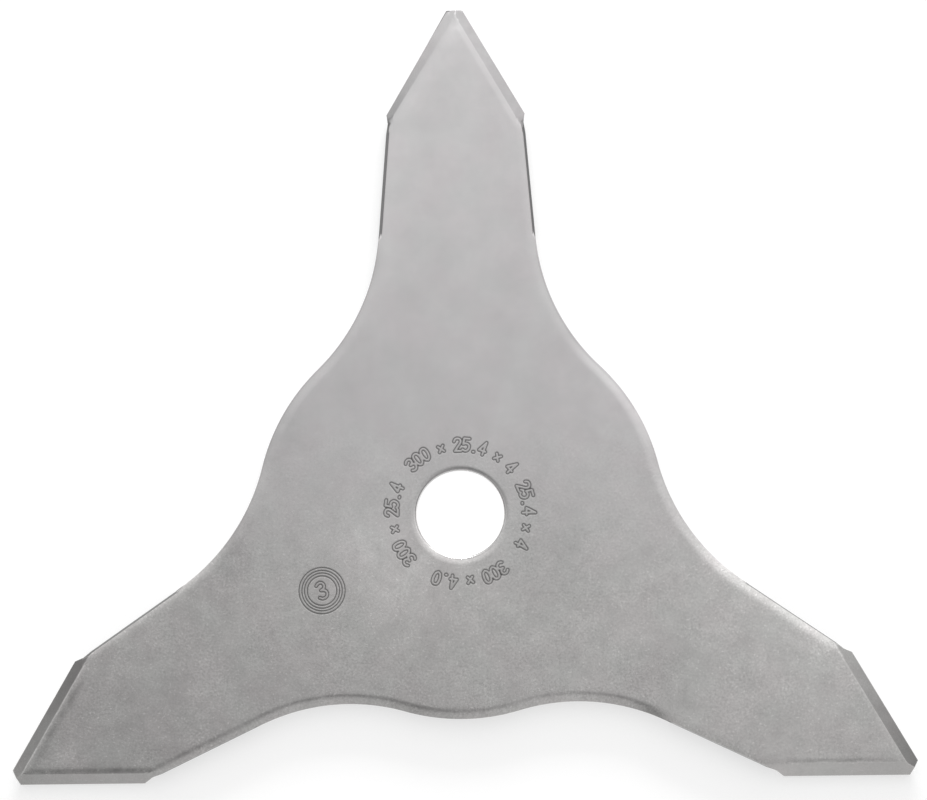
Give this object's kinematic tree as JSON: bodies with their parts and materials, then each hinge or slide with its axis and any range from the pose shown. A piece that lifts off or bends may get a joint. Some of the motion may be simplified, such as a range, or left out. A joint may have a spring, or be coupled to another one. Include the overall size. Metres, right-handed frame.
{
  "type": "brush cutter blade",
  "caption": "Flat steel brush cutter blade with arms ending in ground pointed teeth around a round hub with a central bore.",
  "frame": {"origin": "on the axis of the bore, at mid thickness of the plate", "axes": "+Z along the bore axis, out of the front face; +Y along the middle line of one arm"},
  "size_m": [0.2622, 0.2271, 0.004],
  "materials": {
    "steel": "satin ground steel with fine grain"
  },
  "bodies": {
    "root": {"blade": "steel"}
  },
  "joints": []
}
